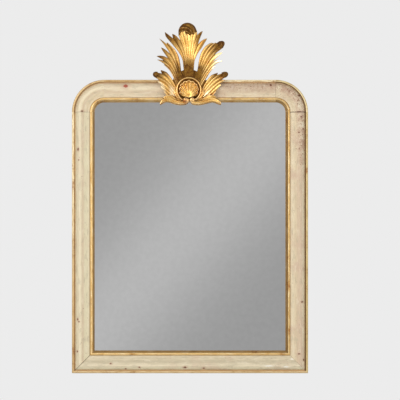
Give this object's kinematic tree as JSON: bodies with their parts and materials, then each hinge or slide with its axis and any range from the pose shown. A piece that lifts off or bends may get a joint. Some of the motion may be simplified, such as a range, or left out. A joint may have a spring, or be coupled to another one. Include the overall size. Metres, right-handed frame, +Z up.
{
  "type": "framed wall mirror",
  "caption": "Upright wall mirror in a painted and gilt moulded frame with rounded top corners, a carved leaf and shell crest, a boarded back and sunk ring hangers.",
  "frame": {"origin": "middle of the boarded back, on the wall plane, at half the height of the frame without its crest", "axes": "+X to the viewer's right, +Y into the wall, +Z up"},
  "size_m": [0.775, 0.0814, 1.1476],
  "materials": {
    "painted_wood": "aged cream paint, rubbed and chipped, slight satin",
    "giltwood": "worn gold leaf over red bole, brown patina in the hollows",
    "bare_pine": "bare oxidised softwood, planed",
    "mirror_glass": "silvered float glass",
    "steel": "dull, lightly rusted steel",
    "brass": "drawn wire, tarnished"
  },
  "bodies": {
    "frame": {"top_rail": "painted_wood", "bottom_rail": "painted_wood", "left_stile": "painted_wood", "right_stile": "painted_wood", "left_corner_block": "painted_wood", "right_corner_block": "painted_wood", "outer_bead_top": "giltwood", "sight_slip_top": "giltwood", "outer_bead_bottom": "giltwood", "sight_slip_bottom": "giltwood", "outer_bead_left": "giltwood", "sight_slip_left": "giltwood", "outer_bead_right": "giltwood", "sight_slip_right": "giltwood", "outer_bead_left_corner": "giltwood", "sight_slip_left_corner": "giltwood", "outer_bead_right_corner": "giltwood", "sight_slip_right_corner": "giltwood", "crest_hub": "giltwood", "crest_cartouche_ring": "giltwood", "crest_shell": "giltwood", "crest_left_volute": "giltwood", "crest_right_volute": "giltwood", "crest_plume": "giltwood", "crest_left_leaf": "giltwood", "crest_right_leaf": "giltwood", "crest_left_lower_leaf": "giltwood", "crest_right_lower_leaf": "giltwood", "crest_left_tail": "giltwood", "crest_right_tail": "giltwood", "crest_batten": "bare_pine", "crest_packing_block": "bare_pine", "backboard_left": "bare_pine", "backboard_centre": "bare_pine", "backboard_right": "bare_pine", "corner_dowels": "bare_pine", "mitre_keys": "bare_pine", "glazing_blocks": "bare_pine", "mirror_plate": "mirror_glass", "crest_screws": "steel", "backboard_nails": "steel", "hanger_strap_left": "steel", "hanger_strap_right": "steel", "hanger_screws": "steel"},
    "ring_left": {"hanger_ring_left": "brass"},
    "ring_right": {"hanger_ring_right": "brass"}
  },
  "joints": [
    {"name": "ring_left_swing", "type": "hinge", "parent": "frame", "child": "ring_left", "pos_m": [-0.3645, -0.0072, 0.2255], "axis": [1, 0, 0], "range_deg": [0, 175]},
    {"name": "ring_right_swing", "type": "hinge", "parent": "frame", "child": "ring_right", "pos_m": [0.3645, -0.0072, 0.2255], "axis": [1, 0, 0], "range_deg": [0, 175]}
  ]
}
